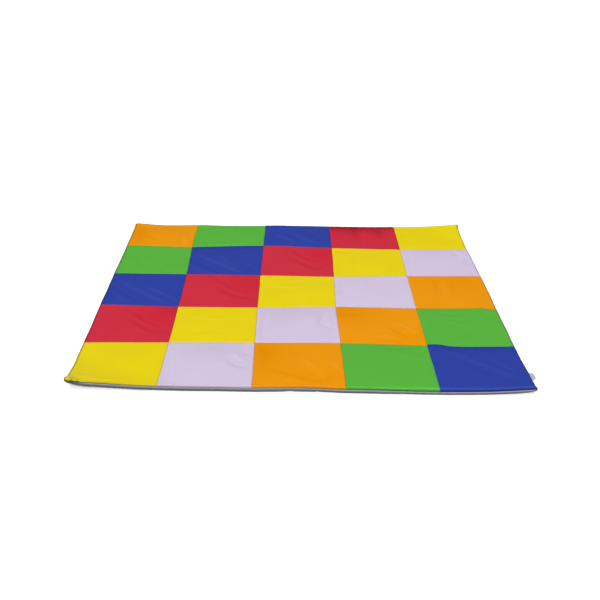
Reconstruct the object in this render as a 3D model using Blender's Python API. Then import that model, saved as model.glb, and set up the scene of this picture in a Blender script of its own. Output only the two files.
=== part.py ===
"""Square padded play mat: five rows of five sewn vinyl squares over one filled grey pad.

Metres, +Z up. The origin is the centre of the flat underside, +X is the mat's right side
and +Y its back edge. The mat lies on a floor with its four corners lifted a little.
"""

import math
from collections import namedtuple

import bmesh
import bpy
from mathutils import Vector

MM = 0.001

# Driving sizes of the mat
SQUARES = 5                 # squares in a row, and rows
SIDE = 300 * MM             # one square, seam to seam
HALF = SQUARES * SIDE / 2   # centre of the mat to its rim
TOP_HEIGHT = 24 * MM        # floor to the shoulder of a square beside its seams
VINYL = 1.2 * MM            # thickness of the top squares
CLEARANCE = 0.3 * MM        # gap between pieces that touch

# Seams between the squares
SEAM_DIP = 1.1 * MM         # how far a seam is drawn down
SEAM_REACH = 5 * MM         # how far to each side a seam draws the vinyl down
CROWN = 1.5 * MM            # rise of a square's middle over its shoulder

# Rim: the top squares roll down to a side seam, and the grey base rolls up to it
SIDE_SEAM_LEFT = 19.5 * MM  # height of the side seam at the left rim
SIDE_SEAM_RIGHT = 15.5 * MM # height of the side seam at the right rim
SEAM_GROOVE = 1.6 * MM      # open height of the side seam
RIM_INSET = 0.6 * MM        # how far the top squares' lower edge sits inside the grey side
TOP_ROLL = 8 * MM           # width of the roll from the top to the side seam
BASE_ROLL = 7 * MM          # width of the roll from the side seam to the underside
CORNER_BASE_ROLL = 14 * MM  # the same at a corner, where the base is pinched up to the seam
CORNER_REACH = 30 * MM      # how far along the rim the pinch reaches

# Lift of each corner at its tip, and how far it reaches along each of its rims, in mm.
# Side is -1 at the left and 1 at the right, end is -1 at the front and 1 at the back.
Lift = namedtuple("Lift", "side end rise reach_across reach_along")
CORNER_LIFTS = {
    "front_left": Lift(-1, -1, 15, 400, 220),
    "front_right": Lift(1, -1, 6, 230, 230),
    "back_left": Lift(-1, 1, 8, 150, 150),
    "back_right": Lift(1, 1, 15, 280, 280),
}

# Where the seams and the rim stray from the even grid of squares, in mm.
# One row for each line across the mat, one column for each line from front to back.
Drift = namedtuple("Drift", "left_rim seam_1 seam_2 seam_3 seam_4 right_rim")
DRIFT_TO_RIGHT = {
    "front_rim": Drift(7, -3, 2, 2, 0, 17),
    "front_seam": Drift(8, -1, -2, -1, 1, 9),
    "near_seam": Drift(7, 1, -2, -6, 1, 7),
    "far_seam": Drift(7, -1, 0, -1, -2, 6),
    "back_seam": Drift(8, -8, 2, 3, 0, 0),
    "back_rim": Drift(7, -10, 4, 6, 12, -4),
}
DRIFT_TO_BACK = {
    "front_rim": Drift(-2, -4, -5, -7, -12, -3),
    "front_seam": Drift(-5, 0, 1, 3, -9, -7),
    "near_seam": Drift(4, -3, -6, 5, -6, 6),
    "far_seam": Drift(-2, 1, -1, -6, 5, 6),
    "back_seam": Drift(0, -3, 26, 7, 2, 16),
    "back_rim": Drift(-22, -27, -28, -20, -19, -9),
}

# Further bulge of the rim between two seams, one value for each square, in mm towards the back
RIM_BULGE = {
    "front": (0, 0, 5, 0, -2),
    "back": (-8, -3, 0, -3, 0),
}
BULGE_REACH = 120 * MM

# Soft rises and hollows of the top: place, height and reach, in mm
Swell = namedtuple("Swell", "right back rise reach")
SWELLS = {
    "back_rim_rise": Swell(-100, 735, 3, 60),
    "back_rim_hollow": Swell(-570, 735, -3, 70),
    "front_right_pinch": Swell(770, -750, -3, 50),
    "back_right_pinch": Swell(755, 745, -2.5, 50),
}

# Lines on which the skins are drawn: angles on a roll, and distances from a seam in a square
ROLL_ANGLES = (0, 30, 60, 90)
RIM_SHOULDER = 45 * MM
INNER_LINES = (5 * MM, 25 * MM, 105 * MM, 195 * MM, 275 * MM, 295 * MM)

# Label tape in the side seam
LABEL_LENGTH = 38 * MM      # along the rim
LABEL_REACH = 13 * MM       # out of the seam
LABEL_THICKNESS = 1.0 * MM
LABEL_CENTRE_Y = -668 * MM
LABEL_DROOP = 4 * MM        # drop of its outer end
LABEL_STEPS = 4

# Base colours in linear light, and their order along a row of squares
COLOURS = {
    "orange": (0.80, 0.27, 0.005),
    "green": (0.10, 0.42, 0.05),
    "blue": (0.035, 0.055, 0.34),
    "red": (0.56, 0.03, 0.06),
    "yellow": (0.76, 0.62, 0.01),
    "lilac": (0.63, 0.55, 0.74),
    "grey": (0.24, 0.24, 0.27),
    "white": (0.80, 0.80, 0.80),
}
COLOUR_ORDER = ("orange", "green", "blue", "red", "yellow", "lilac")
ROUGHNESS = 0.42

SMOOTH_BELOW = math.radians(40)     # edges flatter than this are shaded smooth
ON_FLOOR = 0.0001 * MM              # heights below this lie on the floor


def eased(values, position):
    """Value at a position in a row of evenly spaced values, on a smooth curve through them."""
    last = len(values) - 1
    index = min(max(int(position), 0), last - 1)
    step = position - index
    start, end = values[index], values[index + 1]
    before = values[max(index - 1, 0)]
    after = values[min(index + 2, last)]
    slope_start = (end - before) / 2
    slope_end = (after - start) / 2
    curve = (2 * start - 2 * end + slope_start + slope_end) * step ** 3
    curve += (3 * end - 3 * start - 2 * slope_start - slope_end) * step ** 2
    return curve + slope_start * step + start


def drift(table, right, back):
    """How far a point of the even mat strays, from a table of the seam lines."""
    column = (right + HALF) / SIDE
    row = (back + HALF) / SIDE
    return eased([eased(line, column) for line in table.values()], row) * MM


def rim_bulge(right, back):
    """Extra shift to the back of a point near the front or back rim."""
    column = min(int((right + HALF) / SIDE), SQUARES - 1)
    within = (right + HALF) / SIDE - column
    swing = math.sin(math.pi * within) ** 2 * MM
    front = RIM_BULGE["front"][column] * math.exp(-((back + HALF) / BULGE_REACH) ** 2)
    rear = RIM_BULGE["back"][column] * math.exp(-((HALF - back) / BULGE_REACH) ** 2)
    return swing * (front + rear)


def laid_out(right, back):
    """Place on the floor of a point of the even mat."""
    x = right + drift(DRIFT_TO_RIGHT, right, back)
    y = back + drift(DRIFT_TO_BACK, right, back) + rim_bulge(right, back)
    return x, y


def corner_lift(right, back):
    """Height by which the lifted corners raise both skins."""
    total = 0.0
    for lift in CORNER_LIFTS.values():
        across = (HALF - lift.side * right) / (lift.reach_across * MM)
        along = (HALF - lift.end * back) / (lift.reach_along * MM)
        total += lift.rise * MM * max(0.0, 1 - across - along) ** 2
    return total


def swelling(right, back):
    """Height by which the filling swells or sinks below the top squares."""
    total = 0.0
    for swell in SWELLS.values():
        away = math.hypot(right - swell.right * MM, back - swell.back * MM)
        total += swell.rise * MM * math.exp(-(away / (swell.reach * MM)) ** 2)
    return total


def seam_pull(place):
    """1 on a seam between two squares, falling to 0 beside it."""
    line = round((place + HALF) / SIDE)
    if line in (0, SQUARES):
        return 0.0
    return max(0.0, 1 - abs(place + HALF - line * SIDE) / SEAM_REACH)


def crown(right, back):
    """Rise of a square's middle."""
    across = math.sin(math.pi * ((right + HALF) / SIDE % 1))
    along = math.sin(math.pi * ((back + HALF) / SIDE % 1))
    return CROWN * across * along


def side_seam_height(right):
    """Height of the lower edge of the top squares at the rim."""
    share = (right + HALF) / (2 * HALF)
    return SIDE_SEAM_LEFT + (SIDE_SEAM_RIGHT - SIDE_SEAM_LEFT) * share


def base_roll(place_along_rim):
    """Width of the base's roll, wider where a corner is pinched up."""
    away = (HALF - abs(place_along_rim)) / CORNER_REACH
    return BASE_ROLL + (CORNER_BASE_ROLL - BASE_ROLL) * math.exp(-away ** 2)


class Line:
    """One line of a skin: on a rim's roll, at an angle, or at a fixed place on the flat."""

    def __init__(self, place, angle=None):
        self.place = place
        self.angle = angle

    def on_roll(self, width, inset, depth):
        """Its place, and the share of the roll's rise that it has reached."""
        if self.angle is None:
            return self.place, 1.0
        inward = inset + width - (width - depth) * math.cos(self.angle)
        return math.copysign(HALF - inward, self.place), math.sin(self.angle)


def rim_lines(side):
    """Lines on the roll of one rim, from the rim inwards; side is -1 or 1."""
    return [Line(side * HALF, math.radians(angle)) for angle in ROLL_ANGLES]


def square_lines(number, seam_gap):
    """Lines across one square of a row, its ends drawn back by a gap at the seams."""
    start = number * SIDE - HALF
    lines = [Line(start + step) for step in INNER_LINES]
    if number == 0:
        lines = rim_lines(-1) + [Line(start + RIM_SHOULDER)] + lines[2:]
    else:
        lines = [Line(start + seam_gap)] + lines
    if number == SQUARES - 1:
        lines = lines[:-2] + [Line(start + SIDE - RIM_SHOULDER)] + rim_lines(1)[::-1]
    else:
        lines = lines + [Line(start + SIDE - seam_gap)]
    return lines


def whole_lines():
    """Lines across the whole mat, one on each seam."""
    lines = square_lines(0, 0)
    for number in range(1, SQUARES):
        lines += square_lines(number, 0)[1:]
    return lines


def top_point(across, along, depth):
    """Point of the top skin, at a depth below its outer face."""
    right, rise_across = across.on_roll(TOP_ROLL, RIM_INSET, depth)
    back, rise_along = along.on_roll(TOP_ROLL, RIM_INSET, depth)
    dip = SEAM_DIP * max(seam_pull(right), seam_pull(back))
    height = TOP_HEIGHT + crown(right, back) + swelling(right, back) - dip
    seam = side_seam_height(right)
    rise = (height - depth - seam) * rise_across * rise_along
    x, y = laid_out(right, back)
    return Vector((x, y, seam + rise + corner_lift(right, back)))


def base_point(across, along):
    """Point of the grey base, from the ledge of the side seam round to the underside."""
    right, drop_across = across.on_roll(base_roll(along.place), 0, 0)
    back, drop_along = along.on_roll(base_roll(across.place), 0, 0)
    ledge = side_seam_height(right) - SEAM_GROOVE
    x, y = laid_out(right, back)
    return Vector((x, y, ledge * (1 - drop_across * drop_along) + corner_lift(right, back)))


def add_skin(mesh, across, along, point, facing_up):
    """A grid of triangles through point(a, b); each diagonal points to the mat's middle."""
    grid = [[mesh.verts.new(point(a, b)) for b in along] for a in across]
    for i in range(len(across) - 1):
        for j in range(len(along) - 1):
            low, right = grid[i][j], grid[i + 1][j]
            far, left = grid[i + 1][j + 1], grid[i][j + 1]
            same_sign = across[i].place * along[j].place > 0
            if same_sign:
                halves = [(low, right, far), (low, far, left)]
            else:
                halves = [(low, right, left), (right, far, left)]
            for half in halves:
                mesh.faces.new(half if facing_up else half[::-1])
    return grid


def outline(grid):
    """Rim vertices of a grid, anticlockwise from above."""
    front = [column[0] for column in grid]
    right = grid[-1][1:]
    back = [column[-1] for column in grid[-2::-1]]
    left = grid[0][-2:0:-1]
    return front + right + back + left


def add_wall(mesh, upper, lower):
    """A band of triangles between two outlines, facing out."""
    for index, top in enumerate(upper):
        following = (index + 1) % len(upper)
        mesh.faces.new((top, lower[index], lower[following]))
        mesh.faces.new((top, lower[following], upper[following]))


def plain_material(name, colour):
    """Satin Principled material in one colour."""
    material = bpy.data.materials.new(name)
    material.use_nodes = True
    shader = material.node_tree.nodes["Principled BSDF"]
    shader.inputs["Base Color"].default_value = (*colour, 1.0)
    shader.inputs["Roughness"].default_value = ROUGHNESS
    shader.inputs["Metallic"].default_value = 0.0
    material.diffuse_color = (*colour, 1.0)
    return material


def add_object(name, mesh, middle, material, parent):
    """Object of a finished bmesh, its origin at a middle point on the floor."""
    bmesh.ops.translate(mesh, vec=-middle, verts=mesh.verts)
    data = bpy.data.meshes.new(name)
    mesh.to_mesh(data)
    mesh.free()
    data.shade_smooth()
    data.set_sharp_from_angle(angle=SMOOTH_BELOW)
    data.materials.append(material)
    piece = bpy.data.objects.new(name, data)
    piece.location = middle
    piece.parent = parent
    bpy.context.scene.collection.objects.link(piece)
    return piece


def make_panel(row, column, material, parent):
    """One vinyl square of the top; row and column count from the front left."""
    across = square_lines(column, CLEARANCE / 2)
    along = square_lines(row, CLEARANCE / 2)
    mesh = bmesh.new()
    outer = add_skin(mesh, across, along, lambda a, b: top_point(a, b, 0.0), True)
    inner = add_skin(mesh, across, along, lambda a, b: top_point(a, b, VINYL), False)
    add_wall(mesh, outline(outer), outline(inner))
    name = f"panel_r{SQUARES - row}_c{column + 1}"
    middle = Vector((*laid_out((column + 0.5) * SIDE - HALF, (row + 0.5) * SIDE - HALF), 0))
    return add_object(name, mesh, middle, material, parent)


def merge_flat_underside(mesh):
    """Join the triangles that lie on the floor into one flat face."""
    flat = [face for face in mesh.faces if all(abs(vert.co.z) < ON_FLOOR for vert in face.verts)]
    bmesh.ops.dissolve_faces(mesh, faces=flat, use_verts=False)


def make_pad(material, parent):
    """The filled pad: a bed for the squares, the ledge of the side seam, sides and underside."""
    lines = whole_lines()
    bed_depth = VINYL + CLEARANCE
    mesh = bmesh.new()
    bed = outline(add_skin(mesh, lines, lines, lambda a, b: top_point(a, b, bed_depth), True))
    base = outline(add_skin(mesh, lines, lines, base_point, False))
    ledge = []
    for vert in bed:
        ledge.append(mesh.verts.new(vert.co - Vector((0, 0, SEAM_GROOVE))))
    add_wall(mesh, bed, ledge)
    add_wall(mesh, ledge, base)
    merge_flat_underside(mesh)
    return add_object("pad", mesh, Vector(), material, parent)


def make_label(material, parent):
    """A blank tape folded into the side seam, drooping as it leaves it."""
    root = RIM_INSET + VINYL

    def label_point(out, along, depth):
        x, y = laid_out(HALF, along.place)
        height = side_seam_height(HALF) + corner_lift(HALF, along.place) - CLEARANCE - depth
        outside = max(0.0, out.place)
        droop = LABEL_DROOP * (outside / LABEL_REACH) ** 2
        return Vector((x + out.place, y, height - droop))

    outs = [Line(-root)] + [Line(LABEL_REACH * step / LABEL_STEPS) for step in range(LABEL_STEPS + 1)]
    start = LABEL_CENTRE_Y - LABEL_LENGTH / 2
    alongs = [Line(start + LABEL_LENGTH * step / LABEL_STEPS) for step in range(LABEL_STEPS + 1)]
    mesh = bmesh.new()
    upper = add_skin(mesh, outs, alongs, lambda a, b: label_point(a, b, 0.0), True)
    lower = add_skin(mesh, outs, alongs, lambda a, b: label_point(a, b, LABEL_THICKNESS), False)
    add_wall(mesh, outline(upper), outline(lower))
    middle = Vector((*laid_out(HALF, LABEL_CENTRE_Y), 0))
    return add_object("label_tab", mesh, middle, material, parent)


def main():
    """Clear the scene and build the mat."""
    for old in list(bpy.data.objects):
        bpy.data.objects.remove(old)
    mat = bpy.data.objects.new("play_mat", None)
    bpy.context.scene.collection.objects.link(mat)
    materials = {}
    for name, colour in COLOURS.items():
        materials[name] = plain_material(name, colour)
    make_pad(materials["grey"], mat)
    for row in range(SQUARES):
        for column in range(SQUARES):
            from_back = SQUARES - 1 - row
            colour = COLOUR_ORDER[(from_back + column) % len(COLOUR_ORDER)]
            make_panel(row, column, materials[colour], mat)
    make_label(materials["white"], mat)


main()
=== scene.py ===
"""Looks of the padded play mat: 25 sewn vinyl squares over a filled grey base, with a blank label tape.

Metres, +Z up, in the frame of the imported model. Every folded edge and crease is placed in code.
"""

import math
from collections import namedtuple

import bpy
import numpy as np
from mathutils import Matrix


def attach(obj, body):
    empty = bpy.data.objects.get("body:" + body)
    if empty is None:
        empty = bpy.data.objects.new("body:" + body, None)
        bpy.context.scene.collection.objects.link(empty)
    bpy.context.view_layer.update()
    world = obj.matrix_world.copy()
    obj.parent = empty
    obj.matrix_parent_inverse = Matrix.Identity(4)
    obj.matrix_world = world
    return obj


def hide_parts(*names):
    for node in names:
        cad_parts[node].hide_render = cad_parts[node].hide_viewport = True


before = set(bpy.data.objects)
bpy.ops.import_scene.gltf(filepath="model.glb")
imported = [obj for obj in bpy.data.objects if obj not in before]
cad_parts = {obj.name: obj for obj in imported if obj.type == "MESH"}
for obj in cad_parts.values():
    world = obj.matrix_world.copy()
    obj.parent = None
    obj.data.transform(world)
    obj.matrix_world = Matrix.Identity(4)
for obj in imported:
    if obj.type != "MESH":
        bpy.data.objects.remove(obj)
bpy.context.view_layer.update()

MM = 0.001

# Sizes of the real object, the same as the CAD's
SQUARES = 5
SIDE = 300 * MM
HALF = SQUARES * SIDE / 2
TOP_HEIGHT = 24 * MM
VINYL = 1.2 * MM
SEAM_DIP = 1.1 * MM
CROWN = 1.5 * MM
SIDE_SEAM_LEFT = 19.5 * MM
SIDE_SEAM_RIGHT = 15.5 * MM
RIM_INSET = 0.6 * MM
TOP_ROLL = 8 * MM
BASE_ROLL = 7 * MM
CORNER_BASE_ROLL = 14 * MM
CORNER_REACH = 30 * MM

# Lifted corners, by side and end: rise and reach, in mm. This table and those up to the folds
# were read from the photograph more closely than the CAD's, so some values differ from it
Lift = namedtuple("Lift", "side end rise reach_across reach_along")
CORNER_LIFTS = (
    Lift(-1, -1, 16, 450, 200),
    Lift(1, -1, 6, 230, 230),
    Lift(-1, 1, 6, 150, 150),
    Lift(1, 1, 15, 280, 280),
)

# Drift of the seam lines from the even grid, in mm: rows run from the front rim to the back
# rim, columns from the left rim to the right rim
DRIFT_TO_RIGHT = np.array((
    (7, 0, 2.5, 4, 4, 17),
    (8, 2.5, 1.5, 1, 2.5, 10.5),
    (7, 3, 1, -4, 0.5, 8),
    (7, 2.5, 2, 0.5, 0, 6),
    (8, -5, 4.5, 3, 1.5, 0),
    (7, -6, 6.5, 1.5, 0, -4),
))
DRIFT_TO_BACK = np.array((
    (-2, -4, -5, -7, -12, -3),
    (-11, -4, 0, 3.5, -10, -4),
    (-1, -13, -12, 1, -6.5, 3),
    (-2, -2.5, -6, -12, 1.5, 10),
    (10, -1, 22.5, 5, -3, 6),
    (-22, -22, -24, -20, -17, -9),
))
# Extra shift to the back of each square's middle at the two rims, in mm
RIM_BULGE_FRONT = (0, 0, 5, 0, -2)
RIM_BULGE_BACK = (-5, -5, 3.5, -3, 0)
BULGE_REACH = 120 * MM

# Soft rises and hollows of the filling: place, rise and reach, in mm
Swell = namedtuple("Swell", "right back rise reach")
SWELLS = (
    Swell(-100, 735, 3, 60),
    Swell(-570, 735, -3, 70),
    Swell(770, -750, -3, 50),
    Swell(755, 745, -2.5, 50),
    Swell(-742, -742, 5, 30),
)

# Folds of the vinyl at a seam between two squares
SEAM_GAP = 0.06 * MM            # seam line to the folded edge
FOLD = 1.2 * MM                 # radius of the folded edge
FOLD_ANGLES = (20, 45, 70, 90)
FOLD_FOOT = 2.8 * MM            # how deep the folded edge goes
FOLD_WALL = 0.4 * MM            # upright part of the edge just below its bend
FOLD_SLANT = 0.03 * MM          # how far that part leans away from the seam line
BEND_PAINTED_SHADE = 0.18               # painted shade in the bend, fading to its shoulder
DIP_REACH = 3.2 * MM            # how far from the seam line the top dips
EDGE_SHADE = 0.45               # painted shade on the slope into a seam at a square's front edge
EDGE_SHADE_REACH = 4.2 * MM
CROSSING_DIP = 0.7 * MM         # further dip where four squares meet
CROSSING_REACH = 11 * MM

# Fold at the side seam
SEAM_RISE = 1.5 * MM            # the squares' roll ends this far above the CAD's seam height
RIGHT_SEAM_RISE = -0.9 * MM     # change of that from one square right of the middle
UNDERFOLD = 2.1 * MM            # radius of the edge that turns in under the roll
UNDERFOLD_ANGLES = (90, 68, 45, 22)
TAIL = 5 * MM                   # where the turned-in edge ends, from the rim
ROLL_ANGLES = (0, 9, 18, 28, 38, 49, 60, 70, 80, 90)
# Angle up the roll over which the painted shade of the side seam's crevice fades, at each rim
LEFT_SHADE = 85
RIGHT_SHADE = 86
FRONT_SHADE = 48
BACK_SHADE = 125
LEFT_EDGE_SHARE = 0.7           # share of the painted shade in front and back edges, in the mat's left half
RIGHT_EDGE_SHARE = 1.05         # and from one square right of the middle
LEFT_SPREAD = 0.6               # power that spreads the painted shade up the front roll, in the left half
ROLL_PAINTED_HIGHLIGHT = 0.26               # painted highlight along the front roll at its right end, fading to the middle
ROLL_LIGHT_INSET = 10 * MM
ROLL_LIGHT_REACH = 3.2 * MM

# Lines across a square: distances from a seam or the rim, then even steps between them
NEAR_SEAM = (2.5 * MM, 3.6 * MM, 5.2 * MM, 7.5 * MM, 10.5 * MM, 14 * MM)
NEAR_RIM = (11 * MM, 14 * MM)
STEPS = 52

# Colours along each row and down each column, over and over
COLOUR_ORDER = ("orange", "green", "blue", "red", "yellow", "lilac")


def spline_weights(position, count):
    """Weights of evenly spaced values at each position, for a smooth curve through them."""
    index = np.clip(position.astype(int), 0, count - 2)
    step = position - index
    weights = np.zeros((count, len(position)))
    points = np.arange(len(position))
    shares = (
        (index - 1, -0.5 * step ** 3 + step ** 2 - 0.5 * step),
        (index, 1.5 * step ** 3 - 2.5 * step ** 2 + 1),
        (index + 1, -1.5 * step ** 3 + 2 * step ** 2 + 0.5 * step),
        (index + 2, 0.5 * step ** 3 - 0.5 * step ** 2),
    )
    for place, share in shares:
        np.add.at(weights, (np.clip(place, 0, count - 1), points), share)
    return weights


def drift(table, right, back):
    """How far points of the even mat stray, from a table of the seam lines."""
    columns = spline_weights((right + HALF) / SIDE, table.shape[1])
    rows = spline_weights((back + HALF) / SIDE, table.shape[0])
    return np.einsum("in,ij,jn->n", rows, table, columns) * MM


def rim_bulge(right, back):
    """Extra shift to the back of points near the front or back rim."""
    column = np.clip(((right + HALF) / SIDE).astype(int), 0, SQUARES - 1)
    within = (right + HALF) / SIDE - column
    swing = np.sin(np.pi * within) ** 2 * MM
    front = np.array(RIM_BULGE_FRONT)[column] * np.exp(-((back + HALF) / BULGE_REACH) ** 2)
    rear = np.array(RIM_BULGE_BACK)[column] * np.exp(-((HALF - back) / BULGE_REACH) ** 2)
    return swing * (front + rear)


# Rounding of the mat's corners, by side and end
CORNER_ROUND = {(-1, -1): 14 * MM, (1, -1): 4 * MM, (-1, 1): 17 * MM, (1, 1): 8 * MM}


def rounded(right, back):
    """Even-mat places with the four corners rounded off."""
    right, back = right.copy(), back.copy()
    for (side, end), radius in CORNER_ROUND.items():
        across = side * right - (HALF - radius)
        along = end * back - (HALF - radius)
        here = (across > 0) & (along > 0)
        share = np.maximum(across, along)[here] / np.hypot(across, along)[here]
        right[here] = side * (HALF - radius + across[here] * share)
        back[here] = end * (HALF - radius + along[here] * share)
    return right, back


# Small local shifts of the seams towards the back, in mm, in one column of squares each
Nudge = namedtuple("Nudge", "column right back shift reach_right reach_back")
NUDGES = (
    Nudge(5, 450, -450, 12, 58, 60),
    Nudge(5, 636, -450, -6, 108, 60),
    Nudge(5, 750, -150, -9, 44, 60),
    Nudge(3, -150, 757, 5, 15, 26),
)


# How far the sewn lines wander in long and in short waves, in mm
LONG_WANDER = 0.45
SHORT_WANDER = 0.3


def wander(right, back):
    """Slight wandering of the sewn lines."""
    x = LONG_WANDER * np.sin(back / 0.052 + 1.3)
    x += SHORT_WANDER * np.sin(back / 0.0231 + right * 4.1)
    y = LONG_WANDER * np.sin(right / 0.057 + 0.4)
    y += SHORT_WANDER * np.sin(right / 0.0263 + back * 3.7 + 2)
    return x * MM, y * MM


# Pinched ears at the corners, in mm: how far each sticks out sideways, endways and up, and its reach
Ear = namedtuple("Ear", "side end out endways rise reach")
EARS = (
    Ear(-1, -1, 5, 0, 3.5, 23),
    Ear(1, -1, 2.5, 0, 1, 14),
    Ear(-1, 1, 1, 0, 0, 20),
    Ear(1, 1, 7, 1, 2, 26),
)


def ear_share(ear, right, back):
    """1 at the tip of an ear, falling to 0 away from it."""
    across, along = HALF - ear.side * right, HALF - ear.end * back
    return np.exp(-(np.hypot(across, along) / (ear.reach * MM)) ** 2)


def laid_out(right, back, column=0):
    """Places on the floor of points of the even mat, in one column of squares or in none."""
    right, back = rounded(right, back)
    x = right + drift(DRIFT_TO_RIGHT, right, back)
    y = back + drift(DRIFT_TO_BACK, right, back) + rim_bulge(right, back)
    for nudge in NUDGES:
        if nudge.column == column:
            away = np.abs((right - nudge.right * MM) / (nudge.reach_right * MM)) ** 6
            away += ((back - nudge.back * MM) / (nudge.reach_back * MM)) ** 2
            y = y + nudge.shift * MM * np.exp(-away)
    for ear in EARS:
        share = ear_share(ear, right, back) * MM
        x = x + ear.side * ear.out * share
        y = y + ear.end * ear.endways * share
    shift_x, shift_y = wander(right, back)
    return x + shift_x, y + shift_y


def corner_lift(right, back):
    """Height by which the lifted corners raise the mat."""
    total = np.zeros_like(right)
    for lift in CORNER_LIFTS:
        across = (HALF - lift.side * right) / (lift.reach_across * MM)
        along = (HALF - lift.end * back) / (lift.reach_along * MM)
        total += lift.rise * MM * np.maximum(0.0, 1 - across - along) ** 2
    for ear in EARS:
        total += ear.rise * MM * ear_share(ear, right, back)
    return total


def swelling(right, back):
    """Height by which the filling swells or sinks below the squares."""
    total = np.zeros_like(right)
    for swell in SWELLS:
        away = np.hypot(right - swell.right * MM, back - swell.back * MM)
        total += swell.rise * MM * np.exp(-(away / (swell.reach * MM)) ** 2)
    return total


def crown(right, back):
    """Rise of a square's middle."""
    across = np.abs(np.sin(np.pi * (right + HALF) / SIDE))
    along = np.abs(np.sin(np.pi * (back + HALF) / SIDE))
    return CROWN * across * along


def side_seam_height(right):
    """Height of the side seam, falling from the left rim to the right rim."""
    return SIDE_SEAM_LEFT + (SIDE_SEAM_RIGHT - SIDE_SEAM_LEFT) * (right + HALF) / (2 * HALF)


def uneven(right, back, cell, seed):
    """Smooth unevenness between -1 and 1, its humps about one cell apart."""
    random = np.random.default_rng(seed)
    count = int(2 * HALF / cell) + 6
    lattice = random.uniform(-1, 1, (count, count))
    u, v = (right + HALF) / cell + 2, (back + HALF) / cell + 2
    i, j = u.astype(int), v.astype(int)
    s, t = u - i, v - j
    s, t = s * s * (3 - 2 * s), t * t * (3 - 2 * t)
    low = lattice[i, j] * (1 - s) + lattice[i + 1, j] * s
    high = lattice[i, j + 1] * (1 - s) + lattice[i + 1, j + 1] * s
    return low * (1 - t) + high * t


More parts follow.
